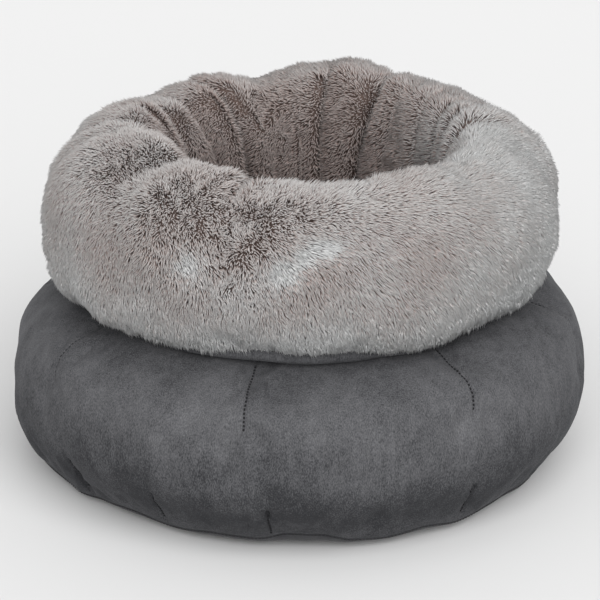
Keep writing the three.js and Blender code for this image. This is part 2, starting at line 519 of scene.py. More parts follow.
@dataclass(frozen=True)
class Pile:
    """Long plush: slender bent locks that stand on a sheet, lean, droop and bunch together."""

    length: float = 9.5 * MM
    width: float = 1.0 * MM
    spacing: float = 1.06 * MM
    tuft: float = 2.5 * MM
    gather: float = 0.17
    unruly: float = 0.27
    droop: float = 0.34
    drift: float = 0.32
    tone: float = 0.45
    mottle: float = 0.055
    speckle: float = 0.09
    calm_flat: float = 0.42
    # painted sheen: lighter tone where the pile lies smooth and where it is brushed flat
    flat_painted_sheen: float = 0.42
    brushed_painted_sheen: float = 0.3
    seed: int = 1

    def grown(
        self, name: str, sheet: Sheet, rows: Pair, arc: Pair, body: str,
        lie: Lie = EVEN, shade: float = 0.0,
    ) -> Piece:
        """Plants the pile on part of a sheet, as one mesh of bent spindles.

        Each lock is two points and a three-sided knee between them. Its root is jittered
        off an even grid, its tip leans towards its tuft's middle, and its map coordinates
        are its tone across and root to tip along.

        Args:
            name: the piece's name.
            sheet: the backing cloth, with evenly spaced columns.
            rows: the share of its rows to cover, from and to.
            arc: the angles to cover, in degrees, from and to.
            body: the CAD body that it moves with.
            lie: how it lies over the sheet.
            shade: painted shade added to the tone, darker below 0.

        Returns:
            The new object.
        """
        draw = np.random.default_rng(self.seed + int(round((arc[0] + 360) * 7 + rows[0] * 1000)))
        row, angle = self.roots(sheet, rows, arc, draw)
        root = sheet.at(row, angle)
        tiny = 2e-3
        up = sheet.at(np.minimum(row + tiny, 1), angle) - sheet.at(np.maximum(row - tiny, 0), angle)
        turn = sheet.at(row, angle + tiny) - sheet.at(row, angle - tiny)
        normal = np.cross(turn, up)
        normal, up, turn = unit(normal), unit(up), unit(turn)
        count = len(row)
        still = lie.calm(row, angle)
        unruly = self.unruly * (1 - 0.6 * still)[:, None]
        lean = sum(
            share * ripple(root, length, self.seed + i)[:, None] * way
            for i, (share, length, way) in enumerate((*wave, way) for wave in LEANS for way in (up, turn))
        )
        lean = lean * unruly
        loose = draw.normal(size=(count, 3)) * unruly * 0.8
        comb = turn * self.drift
        comb[:, 2] -= self.droop
        comb = comb * (1 + 0.9 * still)[:, None] - up * 0.3
        pull = lie.hang(row, angle)
        comb[:, 2] -= pull
        flat = self.calm_flat * still
        for place in lie.brushed:
            near = hump(apart(angle, place.angle), np.radians(place.across))
            near = near * hump(row - place.row, place.along)
            way = np.cos(np.radians(place.turn)) * turn + np.sin(np.radians(place.turn)) * up
            comb = comb * (1 - 0.7 * near)[:, None] + way * (1.6 * place.flatten * near)[:, None]
            flat = np.maximum(flat, near * place.flatten)
        comb = comb - normal * (comb * normal).sum(axis=1, keepdims=True)
        lean = lean * (1 - 0.6 * flat)[:, None]
        stand = normal * (1 - 0.74 * flat)[:, None]
        first = stand + 0.5 * comb + 0.5 * lean + 0.35 * loose
        second = stand * 0.9 + 1.15 * comb + lean + loose
        first, second = unit(first), unit(second)
        size = self.length * draw.uniform(0.72, 1.08, count) * (1 + 0.08 * ripple(root, 0.02, self.seed + 3))
        size = size[:, None]
        knee = root + first * size * 0.5
        tip = knee + second * size * 0.54
        middle = self.tuft_middles(root, tip)
        gather = self.gather * ((1 - 0.7 * still) * (1 + 2.6 * pull))[:, None]
        tip = tip + (middle - tip) * gather * draw.uniform(0.5, 1.1, (count, 1))
        knee = knee + (middle - tip) * gather * 0.18
        points = self.spindles(root, knee, tip, draw)
        mottle = self.mottle * ripple(root, 60 * MM, self.seed + 21)
        # mottle and speckle are the pile's own tone; shade adds painted shade
        tone = self.tone + mottle + self.speckle * draw.normal(size=count) + shade
        # painted sheen of the smooth and brushed-flat locks
        tone = tone + self.flat_painted_sheen * flat + self.brushed_painted_sheen * ease(flat, 0.5, 0.9)
        # painted shade and painted light from the lie, with some plain tone
        tone = tone + lie.tone_and_painted_shading(row, angle)
        return self.dressed(name, points, tone.clip(0.02, 0.98), body)

    def planted(
        self, name: str, sheet: Sheet, rows: Pair, sectors: int, body: str,
        finish: Material, slot: str, lie: Lie = EVEN, shade: float = 0.0,
    ) -> None:
        """Grows the pile all round a sheet, in equal sectors that are a piece each.

        Args:
            name: the pieces' name, which a number follows.
            sheet: the backing cloth.
            rows: the share of its rows to cover, from and to.
            sectors: the number of pieces.
            body: the CAD body that they move with.
            finish: their material.
            slot: passed on to dress.
            lie: how the pile lies.
            shade: painted shade added to its tone.
        """
        wide = 360 / sectors
        for i in range(sectors):
            arc = (-180 + wide * i, -180 + wide * (i + 1))
            dress(self.grown(f"{name}_{i + 1}", sheet, rows, arc, body, lie, shade), finish, slot)

    def roots(
        self, sheet: Sheet, rows: Pair, arc: Pair, draw: np.random.Generator
    ) -> tuple[Array, Array]:
        """Jittered places for the locks, an equal step apart up the sheet and round it.

        Args:
            sheet: the backing cloth.
            rows: the share of its rows to cover, from and to.
            arc: the angles to cover, in degrees, from and to.
            draw: the source of the jitter.

        Returns:
            The share of the rows and the angle of each lock.
        """
        columns = np.linalg.norm(np.diff(sheet.points, axis=0), axis=-1).mean(axis=1)
        run = np.concatenate([[0], np.cumsum(columns)])
        share = run / run[-1]
        first, last = np.interp(rows, np.linspace(0, 1, len(share)), share)
        lines = max(int((last - first) * run[-1] / self.spacing), 1)
        middle = first + (np.arange(lines) + 0.5) / lines * (last - first)
        radius = np.linalg.norm(sheet.points[..., :2], axis=-1).mean(axis=1)
        width = np.radians(arc[1] - arc[0]) * np.interp(middle, share, radius)
        each = np.maximum((width / self.spacing).astype(int), 1)
        line = np.repeat(np.arange(lines), each)
        order = np.arange(each.sum()) - np.repeat(np.cumsum(each) - each, each)
        jitter = draw.uniform(-0.45, 0.45, (2, each.sum()))
        place = (line + 0.5 + jitter[0]) / lines * (last - first) + first
        row = np.interp(place, share, np.linspace(0, 1, len(share)))
        angle = np.radians(arc[0]) + (order + 0.5 + jitter[1]) / each[line] * np.radians(arc[1] - arc[0])
        return row, angle

    def tuft_middles(self, root: Array, tip: Array) -> Array:
        """The mean tip of each lock's tuft, where tufts are wavy cells in space.

        Args:
            root: where each lock stands.
            tip: where it ends.

        Returns:
            One point for each lock.
        """
        wave = np.stack([ripple(root, 5 * self.tuft, 31 + i) for i in range(3)], axis=1)
        cell = np.floor((root + 0.5 * self.tuft * wave) / self.tuft).astype(np.int64)
        cell -= cell.min(axis=0)
        wide = cell.max(axis=0) + 1
        key = (cell[:, 0] * wide[1] + cell[:, 1]) * wide[2] + cell[:, 2]
        _, which = np.unique(key, return_inverse=True)
        members = np.bincount(which)
        total = np.stack([np.bincount(which, tip[:, i]) for i in range(3)], axis=1)
        return (total / members[:, None])[which]

    def spindles(self, root: Array, knee: Array, tip: Array, draw: np.random.Generator) -> Array:
        """The root, three points round the knee, and the tip, for each lock.

        Args:
            root: where each lock stands.
            knee: where it bends.
            tip: where it ends.
            draw: the source of its turn and its girth.

        Returns:
            Five points for each lock.
        """
        count = len(root)
        along = unit(tip - root)
        side = unit(np.cross(along, draw.normal(size=(count, 3))))
        other = np.cross(along, side)
        wide = self.width / 2 * draw.uniform(0.75, 1.25, (count, 1))
        points = np.empty((count, 5, 3))
        points[:, 0], points[:, 4] = root, tip
        for i in range(3):
            turn = i * TURN / 3
            points[:, 1 + i] = knee + (side * np.cos(turn) + other * np.sin(turn)) * wide
        return points

    @staticmethod
    def dressed(name: str, points: Array, tone: Array, body: str) -> Piece:
        """Makes the locks' mesh, with tone and root-to-tip in its own map.

        Args:
            name: the piece's name.
            points: five points for each lock.
            tone: each lock's tone, from 0 to 1.
            body: the CAD body that it moves with.

        Returns:
            The new object.
        """
        one = np.array([[0, 2, 1], [0, 3, 2], [0, 1, 3], [4, 1, 2], [4, 2, 3], [4, 3, 1]])
        count = len(points)
        faces = (one[None] + 5 * np.arange(count)[:, None, None]).reshape(-1, 3)
        piece = mesh_piece(name, points.reshape(-1, 3), faces, body)
        height = np.array([0.02, 0.55, 0.55, 0.55, 0.98])
        spread = np.array([0.0, 0.006, -0.006, 0.0, 0.0])
        across = tone[:, None, None] + spread[one][None]
        along = np.broadcast_to(height[one][None], across.shape)
        places = np.stack([across, along], axis=-1).astype(np.float32)
        piece.data.uv_layers.new(name=PILE_MAP).data.foreach_set("uv", places.ravel())
        return piece


# ---- Finishes ------------------------------------------------------------------------------


class Shader:
    """A node tree being wired up, with short ways to add and join nodes."""

    def __init__(self, tree: bpy.types.NodeTree) -> None:
        """Keeps the tree."""
        self.tree = tree

    def add(self, kind: str, **settings: object) -> bpy.types.Node:
        """Adds a node and sets its fields; a field given as inputs holds socket values.

        Args:
            kind: the node's type.
            settings: its fields, by name.

        Returns:
            The new node.
        """
        node = self.tree.nodes.new(kind)
        for key, value in settings.pop("inputs", {}).items():
            node.inputs[key].default_value = value
        for key, value in settings.items():
            setattr(node, key, value)
        return node

    def join(self, source: Socket, target: Socket) -> None:
        """Joins an output socket to an input socket."""
        self.tree.links.new(source, target)

    def feed(self, socket: Socket, value: Socket | float | tuple) -> None:
        """Joins another socket to this one, or sets its value."""
        if isinstance(value, Socket):
            self.join(value, socket)
        else:
            socket.default_value = value

    def math(self, operation: str, first: Socket | float, second: Socket | float) -> Socket:
        """A sum, difference or product of two sockets or numbers.

        Args:
            operation: what to do.
            first: the first value.
            second: the second value.

        Returns:
            The result's socket.
        """
        node = self.add("ShaderNodeMath", operation=operation)
        self.feed(node.inputs[0], first)
        self.feed(node.inputs[1], second)
        return node.outputs[0]

    def mix(self, share: Socket, first: Socket | tuple, second: Socket | tuple) -> Socket:
        """A colour between two colours.

        Args:
            share: how much of the second colour.
            first: the colour at 0.
            second: the colour at 1.

        Returns:
            The colour's socket.
        """
        node = self.add("ShaderNodeMix", data_type="RGBA")
        for number, value in ((0, share), (6, first), (7, second)):
            self.feed(node.inputs[number], value)
        return node.outputs[2]

    def rise(self, value: Socket, low: float, high: float) -> Socket:
        """Goes smoothly from 0 to 1 as a value goes from low to high.

        Args:
            value: the value.
            low: where the rise begins.
            high: where it ends.

        Returns:
            The result's socket.
        """
        ends = {"From Min": low, "From Max": high}
        node = self.add("ShaderNodeMapRange", interpolation_type="SMOOTHSTEP", inputs=ends)
        self.join(value, node.inputs["Value"])
        return node.outputs[0]

    def stretched(self, place: Socket, scale: tuple[float, float, float]) -> Socket:
        """A place with each of its coordinates scaled.

        Args:
            place: the place.
            scale: the factor of each coordinate.

        Returns:
            The new place's socket.
        """
        node = self.add("ShaderNodeMapping", inputs={"Scale": scale})
        self.join(place, node.inputs["Vector"])
        return node.outputs[0]

    def noise(self, place: Socket, scale: float, detail: float = 3.0, rough: float = 0.5) -> Socket:
        """Noise of this many hills to the metre, at a place.

        Args:
            place: where to read it.
            scale: hills to the metre.
            detail: finer layers added.
            rough: how strong each finer layer is.

        Returns:
            The noise's socket, from 0 to 1.
        """
        node = self.add("ShaderNodeTexNoise", inputs={"Scale": scale, "Detail": detail, "Roughness": rough})
        self.join(place, node.inputs["Vector"])
        return node.outputs["Fac"]


def shader_group(
    name: str, inputs: dict[str, tuple], outputs: dict[str, str]
) -> tuple[Shader, bpy.types.Node, bpy.types.Node]:
    """Starts a node group with named sockets.

    Args:
        name: the group's name.
        inputs: socket type and default of each input, by its name.
        outputs: socket type of each output, by its name.

    Returns:
        The group in a Shader, its input node and its output node.
    """
    tree = bpy.data.node_groups.new(name, "ShaderNodeTree")
    for label, (kind, value) in inputs.items():
        tree.interface.new_socket(label, in_out="INPUT", socket_type=kind).default_value = value
    for label, kind in outputs.items():
        tree.interface.new_socket(label, in_out="OUTPUT", socket_type=kind)
    shader = Shader(tree)
    return shader, shader.add("NodeGroupInput"), shader.add("NodeGroupOutput")


def nap_group() -> bpy.types.NodeTree:
    """Brushed nap: cloud-like patches, soft streaks and a fine fuzz, as a mask and a height.

    Returns:
        The node group.
    """
    number = "NodeSocketFloat"
    kinds = {"Place": ("NodeSocketVector", (0, 0, 0)), "Patch": (number, 1.0), "Fuzz": (number, 1.0)}
    shader, given, result = shader_group("nap", kinds, {"Shade": number, "Height": number})
    place = given.outputs["Place"]
    clouds = shader.noise(place, 24, 4, 0.6)
    streaks = shader.noise(shader.stretched(place, (1, 1, 0.35)), 170, 3, 0.6)
    fuzz = shader.noise(shader.stretched(place, (1, 1, 0.4)), 1300, 2, 0.7)
    broad = shader.math("ADD", shader.math("MULTIPLY", clouds, 0.62), shader.math("MULTIPLY", streaks, 0.38))
    broad = shader.math("MULTIPLY", shader.math("SUBTRACT", broad, 0.5), given.outputs["Patch"])
    fine = shader.math("MULTIPLY", shader.math("SUBTRACT", fuzz, 0.5), given.outputs["Fuzz"])
    shader.join(shader.math("ADD", shader.math("ADD", broad, fine), 0.5), result.inputs["Shade"])
    height = shader.math("ADD", shader.math("MULTIPLY", streaks, 0.35), fuzz)
    shader.join(height, result.inputs["Height"])
    return shader.tree


class Finish:
    """A material being built around one Principled shader."""

    groups: dict[str, bpy.types.NodeTree] = {}

    def __init__(self, name: str, **sockets: object) -> None:
        """Starts the material.

        Args:
            name: the finish's name.
            sockets: fixed values set on the shader's own sockets, by name with _ for spaces.
        """
        self.material = bpy.data.materials.new(name)
        self.material.use_nodes = True
        self.shader = Shader(self.material.node_tree)
        self.surface = self.material.node_tree.nodes["Principled BSDF"]
        for key, value in sockets.items():
            self.surface.inputs[key.replace("_", " ")].default_value = value

    def place(self) -> Socket:
        """The point's own coordinates on the object, in metres."""
        return self.shader.add("ShaderNodeTexCoord").outputs["Object"]

    def colour(self, socket: Socket) -> None:
        """Wires the base colour."""
        self.shader.join(socket, self.surface.inputs["Base Color"])

    def bump(self, height: Socket, distance: float, strength: float = 1.0) -> None:
        """Wires a height, in metres at 1, to the shader's normal.

        Args:
            height: the height's socket.
            distance: metres at a height of 1.
            strength: how much of it is used.
        """
        node = self.shader.add("ShaderNodeBump", inputs={"Distance": distance, "Strength": strength})
        self.shader.join(height, node.inputs["Height"])
        self.shader.join(node.outputs[0], self.surface.inputs["Normal"])

    def group(self, name: str, build: Callable[[], bpy.types.NodeTree]) -> bpy.types.Node:
        """Places a shared node group, built the first time it is asked for."""
        if name not in Finish.groups:
            Finish.groups[name] = build()
        return self.shader.add("ShaderNodeGroup", node_tree=Finish.groups[name])


@dataclass(frozen=True)
class Suede:
    """Faux suede: two tones of nap, how patchy and fuzzy it is, and its bands of painted shade and painted
    light by height.

    Painted shade darkens it from low_top down towards the bottom, painted light lightens it again under
    foot_top on the bottom lip, and painted shade darkens it over the crown, under the collar.
    """

    dark: Colour = (0.026, 0.0265, 0.029, 1)
    light: Colour = (0.13, 0.13, 0.136, 1)
    patch: float = 1.25
    fuzz: float = 1.7
    # bands of painted shade and painted light by height
    low_top: float = 120 * MM
    low_painted_shade: float = 0.6
    crown: Pair = (110 * MM, 155 * MM)
    crown_painted_shade: float = 0.25
    foot: Pair = (4 * MM, 40 * MM)
    foot_painted_light: float = 0.38

    def material(self, name: str) -> Material:
        """Builds the finish and returns it.

        Args:
            name: the material's name.

        Returns:
            The material.
        """
        finish = Finish(
            name, Roughness=0.95, Specular_IOR_Level=0.1, Sheen_Weight=0.07, Sheen_Roughness=0.35,
            Sheen_Tint=(0.75, 0.76, 0.8, 1),
        )
        nap = finish.group("nap", nap_group)
        finish.shader.join(finish.place(), nap.inputs["Place"])
        nap.inputs["Patch"].default_value = self.patch
        nap.inputs["Fuzz"].default_value = self.fuzz
        shader = finish.shader
        split = shader.add("ShaderNodeSeparateXYZ")
        shader.join(finish.place(), split.inputs[0])
        height = split.outputs["Z"]
        # painted shade towards the bottom, under low_top
        low = shader.math("SUBTRACT", 1, shader.rise(height, 0.0, self.low_top))
        # painted light on the bottom lip, under the foot band
        foot = shader.math("SUBTRACT", 1, shader.rise(height, *self.foot))
        share = shader.math("SUBTRACT", nap.outputs["Shade"], shader.math("MULTIPLY", low, self.low_painted_shade))
        # painted shade over the crown, under the collar
        crown = shader.math("MULTIPLY", shader.rise(height, *self.crown), self.crown_painted_shade)
        share = shader.math("SUBTRACT", share, crown)
        share = shader.math("ADD", share, shader.math("MULTIPLY", foot, self.foot_painted_light))
        finish.colour(shader.mix(share, self.dark, self.light))
        finish.bump(nap.outputs["Height"], 0.4 * MM, 0.5)
        return finish.material


@dataclass(frozen=True)
class PileFinish:
    """The locks' colour from root to tip, for a dark tone and a light one."""

    root: Colour = (0.18, 0.118, 0.102, 1)
    body_dark: Colour = (0.27, 0.19, 0.165, 1)
    body_light: Colour = (0.455, 0.452, 0.448, 1)
    tip_dark: Colour = (0.37, 0.322, 0.305, 1)
    tip_light: Colour = (0.552, 0.56, 0.561, 1)

    def material(self, name: str) -> Material:
        """Builds the finish and returns it.

        Args:
            name: the material's name.

        Returns:
            The material.
        """
        finish = Finish(name, Roughness=0.85, Specular_IOR_Level=0.15, Sheen_Weight=0.08, Sheen_Roughness=0.4)
        shader = finish.shader
        split = shader.add("ShaderNodeSeparateXYZ")
        shader.join(shader.add("ShaderNodeUVMap", uv_map=PILE_MAP).outputs[0], split.inputs[0])
        tip = shader.mix(split.outputs["X"], self.tip_dark, self.tip_light)
        body = shader.mix(shader.rise(split.outputs["X"], 0.42, 0.9), self.body_dark, self.body_light)
        under = shader.mix(shader.rise(split.outputs["Y"], 0.05, 0.42), self.root, body)
        finish.colour(shader.mix(shader.rise(split.outputs["Y"], 0.38, 0.85), under, tip))
        return finish.material


@dataclass(frozen=True)
class Felt:
    """A plain soft cloth or stuffing: two tones, the size of its mottle and its roughness."""

    dark: Colour
    light: Colour
    grain: float = 300
    relief: float = 0.4 * MM
    sheen: float = 0.1

    def material(self, name: str) -> Material:
        """Builds the finish and returns it.

        Args:
            name: the material's name.

        Returns:
            The material.
        """
        finish = Finish(name, Roughness=0.95, Specular_IOR_Level=0.1, Sheen_Weight=self.sheen)
        shader, place = finish.shader, finish.place()
        broad = shader.noise(place, self.grain / 8, 3)
        fine = shader.noise(place, self.grain, 4, 0.7)
        share = shader.math("MULTIPLY", shader.math("ADD", broad, fine), 0.5)
        ramp = shader.add("ShaderNodeMapRange", inputs={"From Min": 0.35, "From Max": 0.65})
        shader.join(share, ramp.inputs["Value"])
        finish.colour(shader.mix(ramp.outputs[0], self.dark, self.light))
        finish.bump(fine, self.relief)
        return finish.material


@dataclass(frozen=True)
class Thread:
    """Spun sewing thread, with the slanting bands of its twist, near-black as painted shade of the seams'
    needle holes.
    """

    # near-black colours: painted shade of the needle holes along the seams
    dark: Colour = (0.005, 0.005, 0.006, 1)
    light: Colour = (0.018, 0.018, 0.02, 1)

    def material(self, name: str) -> Material:
        """Builds the finish and returns it.

        Args:
            name: the material's name.

        Returns:
            The material.
        """
        finish = Finish(name, Roughness=0.8, Specular_IOR_Level=0.15, Sheen_Weight=0.05)
        shader = finish.shader
        bands = {"Scale": 900.0, "Distortion": 1.0}
        wave = shader.add("ShaderNodeTexWave", bands_direction="DIAGONAL", inputs=bands)
        shader.join(finish.place(), wave.inputs["Vector"])
        finish.colour(shader.mix(wave.outputs["Fac"], self.dark, self.light))
        finish.bump(wave.outputs["Fac"], 0.1 * MM)
        return finish.material


@dataclass(frozen=True)
class Finishes:
    """The bed's materials, each made once."""

    suede: Material
    thread: Material
    grip: Material
    fibre: Material
    backing: Material
    under: Material
    plush: Material

    @classmethod
    def made(cls) -> "Finishes":
        """Makes them all.

        Returns:
            The materials.
        """
        grip = Felt((0.03, 0.03, 0.033, 1), (0.05, 0.05, 0.053, 1), grain=900, relief=0.3 * MM)
        fibre = Felt((0.75, 0.75, 0.73, 1), (0.92, 0.92, 0.9, 1), grain=250, relief=1.5 * MM)
        backing = Felt((0.1, 0.07, 0.06, 1), (0.17, 0.125, 0.11, 1), grain=700, relief=0.5 * MM)
        under = Felt((0.2, 0.19, 0.18, 1), (0.3, 0.285, 0.27, 1), grain=900, relief=0.4 * MM, sheen=0.3)
        return cls(
            suede=Suede().material("faux_suede"),
            thread=Thread().material("thread_painted_hole_shade"),
            grip=grip.material("anti_slip_cloth"),
            fibre=fibre.material("hollow_fibre"),
            backing=backing.material("plush_backing"),
            under=under.material("short_plush"),
            plush=PileFinish().material("long_plush"),
        )


def dress(piece: Piece, material: Material, slot: str, *nodes: str) -> Piece:
    """Gives a piece its finish and hides the CAD nodes that it stands for.

    Args:
        piece: the piece.
        material: its finish.
        slot: not used.
        nodes: CAD nodes that the piece replaces.

    Returns:
        The same piece.
    """
    piece.data.materials.clear()
    piece.data.materials.append(material)
    if nodes:
        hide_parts(*nodes)
    LOG.info("%s: %d faces", piece.name, len(piece.data.polygons))
    return piece


def stuffing(
    name: str, outline: Array, columns: int, body: str, lumps: float,
    fibre: Material, node: str,
) -> None:
    """Makes and dresses a filling.

    Args:
        name: the piece's name.
        outline: radius and height of its outline, counter-clockwise.
        columns: steps round the bed.
        body: the CAD body that it moves with.
        lumps: how far its surface rises and falls.
        fibre: its material.
        node: the CAD node that it replaces.
    """
    filling = dress(tube_piece(name, outline, columns, body, lumps), fibre, "fibre", node)


# ---- Base ---------------------------------------------------------------------------------


@dataclass(frozen=True)
class Tuck:
    """A stitched tuck: its edge, its angle in degrees, its heights, and how it pulls the cloth in.

    thread is how proud of the cloth its stitches stand.
    """

    half: Half
    angle: float
    low: float
    high: float
    depth: float = 1.0 * MM
    fold: float = 0.4 * MM
    lean: float = 0.0
    thread: float = 0.45 * MM

    @property
    def end(self) -> float:
        """The height of its free end."""
        return self.low if self.half is Half.UPPER else self.high


@dataclass
class SuedeBase:
    """The puffy lower ring: side panel, bottom panel, tucks, seams and filling."""

    radius: float
    widest: float = 75 * MM
    crown: float = 152 * MM
    foot: float = 164 * MM
    neck: float = 116.6 * MM
    seam: float = 14 * MM
    well: float = 114 * MM
    lower_fullness: float = 2.3
    upper_fullness: float = 2.7
    wall: float = 1.6 * MM
    upper_angles: tuple[float, ...] = (-106, -57, -10.4, 35.5, 79, 121, 163, -152)
    lower_angles: tuple[float, ...] = (-100, -52, -30, -6, 36, 82, 128, 175)
    faint: tuple[int, ...] = (0, 1, 4, 5)
    upper_span: Pair = (105 * MM, 150 * MM)
    lower_span: Pair = (4 * MM, 44 * MM)
    seam_radii: Places = (
        (-150, 200), (-120, 206), (-95, 212), (-72, 210), (-57, 202), (-50, 194), (-42, 195), (-31, 192),
        (-22, 195), (-8, 195), (4, 197), (18, 197), (30, 198), (42, 199), (51, 198), (59, 202), (68, 200),
        (80, 203), (100, 204), (125, 202),
    )
    seam_heights: Places = (
        (-170, 12), (-100, 12), (-70, 15), (-52, 9), (-40, 13), (-30, 9), (-19, 12.5), (-9, 12), (-2, 17.5),
        (4, 17), (12, 11), (19, 9.5), (28, 12.5), (36, 9), (46, 12), (60, 14), (82, 10), (105, 14),
        (128, 10), (150, 13),
    )
    shoulder: Places = (
        (-150, 0), (-125, -8), (-100, -13), (-78, -9), (-58, -3), (-40, 0), (45, 0), (70, 0), (85, -2),
        (105, -3), (135, 0),
    )
    belly: Places = ((-140, 0), (-105, 0), (-70, 1), (-45, 0), (0, 1), (45, 1), (70, 0), (100, -1), (140, 0))
    tucks: list[Tuck] = field(init=False)

    def __post_init__(self) -> None:
        """Sets out the tucks: some upper ones are faint, and some lower ones pull deeper and lean."""
        self.tucks = [Tuck(Half.UPPER, angle, *self.upper_span) for angle in self.upper_angles]
        for i in self.faint:
            self.tucks[i] = replace(self.tucks[i], depth=0.4 * MM, fold=0.15 * MM, thread=0)
        deeper = {-52: (2.0, 1.8, -0.9), -30: (0.6, 0.5, -0.3), -6: (2.0, 1.5, 0.9), 36: (1.4, 0.8, -0.3)}
        for angle in self.lower_angles:
            depth, fold, lean = deeper.get(angle, (1.5, 1.2, 0.4))
            self.tucks.append(Tuck(Half.LOWER, angle, *self.lower_span, depth * MM, fold * MM, lean))

    def outline(self, count: int) -> Array:
        """Radius and height of the side, from the bottom seam out, up and in to the neck.

        Args:
            count: number of points.

        Returns:
            Radius and height of each point.
        """
        start = angle_at_share(1 - self.seam / self.widest, self.lower_fullness)
        down = (self.radius - self.foot, -self.widest)
        up = (self.radius - self.neck, self.crown - self.widest)
        lower = arch((self.foot, self.widest), down, self.lower_fullness, start, 0, 80)
        upper = arch((self.neck, self.widest), up, self.upper_fullness, 0, 90, 160)
        return evenly(np.vstack([lower, upper[1:]]), count)

    def shaped(self) -> Sheet:
        """The side panel before it is filled, a little in from its outside.

        Returns:
            The side panel's sheet.
        """
        line = inset(self.outline(56), 2.0 * MM)
        angle = around(360)
        return Sheet(turned(line[:, :1], line[:, 1:], angle[None, :]), angle)

    def held(self, sheet: Sheet) -> tuple[Sheet, Array]:
        """Draws the free ends of the tucks in and says which points the seams hold.

        Args:
            sheet: the side panel before it is filled.

        Returns:
            The drawn-in sheet, and which of its points are held.
        """
        height = sheet.points[..., 2]
        angle = np.broadcast_to(sheet.angles, height.shape)
        pinned = np.zeros(height.shape, bool)
        pinned[[0, -1, -2]] = True
        depth = np.zeros(height.shape)
        for tuck in self.tucks:
            near = np.abs(apart(angle, tuck.angle)) < np.radians(0.6)
            near &= np.abs(height - tuck.end) < 3 * MM
            pinned |= near
            depth = np.where(near, tuck.depth, depth)
        return sheet.moved_out(-depth), pinned

    def seams_drawn(self, sheet: Sheet) -> Sheet:
        """Adds what is finer than the simulation.

        Each tuck gets a sharp valley and a broad one, a bell across it each, and a dimple at
        its free end with short puckers round it. A leaning tuck has one lip higher than the
        other. The low edge is spread or drawn in, and its seam rises and falls.

        Args:
            sheet: the filled side panel.

        Returns:
            The finished panel.
        """
        height = sheet.points[..., 2]
        radius = np.linalg.norm(sheet.points[..., :2], axis=-1)
        angle = np.broadcast_to(sheet.angles, height.shape)
        out = np.zeros(height.shape)
        for tuck in self.tucks:
            side = apart(angle, tuck.angle) * radius
            start, stop = tuck.low - 3 * MM, tuck.high + 4 * MM
            span = ease(height, start, start + 8 * MM) * (1 - ease(height, stop - 8 * MM, stop))
            out -= (0.7 * MM + 0.5 * tuck.fold) * span * hump(side, 1.2 * MM)
            out -= tuck.fold * span * hump(side, 8 * MM)
            lip = hump(side - np.copysign(3.2 * MM, tuck.lean), 2.6 * MM)
            out += abs(tuck.lean) * 1.3 * MM * span * lip
            out -= 1.7 * MM * hump(side, 2.2 * MM) * hump(height - tuck.end, 3.2 * MM)
            pull = hump(height - tuck.end, 13 * MM) * hump(side, 14 * MM)
            out += 0.35 * MM * pull * np.cos(side / (2.6 * MM)) * (1 - hump(side, 2 * MM))
        out += 0.8 * MM * ripple(sheet.points, 0.08, 41) + 0.22 * MM * ripple(sheet.points, 0.022, 42)
        points = sheet.moved_out(out).points
        first = np.linalg.norm(points[:1, :, :2], axis=-1)
        away = (swell(angle, self.seam_radii) * MM - first) * (1 - ease(height, 10 * MM, 62 * MM))
        away = away + swell(angle, self.belly) * MM * hump(height - 72 * MM, 42 * MM)
        away = away + swell(angle, self.shoulder) * MM * hump(height - 134 * MM, 24 * MM)
        points[..., 0] += away * np.sin(angle)
        points[..., 1] -= away * np.cos(angle)
        seam = swell(angle, self.seam_heights) * MM - points[0][None, :, 2]
        points[..., 2] += seam * (1 - ease(height, 13 * MM, 40 * MM))
        return Sheet(points, sheet.angles)

    def columns(self) -> Array:
        """Angles of the finished panel's columns, closer together beside the tucks.

        Returns:
            The angles, in radians.
        """
        even = np.linspace(-180, 180, 432, endpoint=False)
        steps = (-0.6, -0.36, -0.18, 0, 0.18, 0.36, 0.6)
        extra = [a + step for a in self.upper_angles + self.lower_angles for step in steps]
        every = np.unique(np.round(np.concatenate([even, np.array(extra)]), 3))
        return np.radians((every + 180) % 360 - 180)

    def build(self, finishes: Finishes) -> Sheet:
        """Makes and dresses every piece of the base, and returns its side panel's sheet.

        Args:
            finishes: the bed's materials.

        Returns:
            The side panel's sheet.
        """
        held, pinned = self.held(self.shaped())
        filled = inflated(held, pinned, pressure=3.0, spare=0.015, cap=5 * MM)
        panel = self.seams_drawn(filled.resampled(78, np.sort(self.columns())))
        side = cloth_piece("side_panel", panel, BED, self.wall)
        dress(side, finishes.suede, "suede", "base_side_panel")
        self.stitches(panel, finishes.thread)
        self.bottom(panel, finishes)
        outline = np.vstack([
            [[self.well + 3 * MM, 12 * MM], [self.foot, 12 * MM]],
            inset(self.outline(30), 16 * MM)[2:-2],
            [[self.well + 3 * MM, 132 * MM]],
        ])
        stuffing("base_filling", outline, 120, BED, 1.6 * MM, finishes.fibre, "base_ring_filling")
        return panel

    def stitches(self, panel: Sheet, thread: Material) -> None:
        """Lays the rows of stitches down the tucks.

        Args:
            panel: the finished side panel.
            thread: the stitches' material.
        """
        normals = panel.slopes()[0]
        stitching = Stitching(pitch=3.0 * MM, length=2.1 * MM, width=1.5 * MM, height=0.9 * MM)
        for half in Half:
            for i, tuck in enumerate((t for t in self.tucks if t.half is half), 1):
                column = int(np.argmin(np.abs(apart(panel.angles, tuck.angle))))
                line = panel.points[:, column]
                on = (line[:, 2] > max(tuck.low, 16 * MM)) & (line[:, 2] < tuck.high)
                on &= np.linalg.norm(line[:, :2], axis=1) > 0.17
                normal = normals[on, column]
                name = f"{half.value}_tuck_stitches_{i}"
                row = stitching.row(name, line[on] + normal * tuck.thread, normal, BED)
                dress(row, thread, "thread", f"{half.value}_dart_thread_{i}")

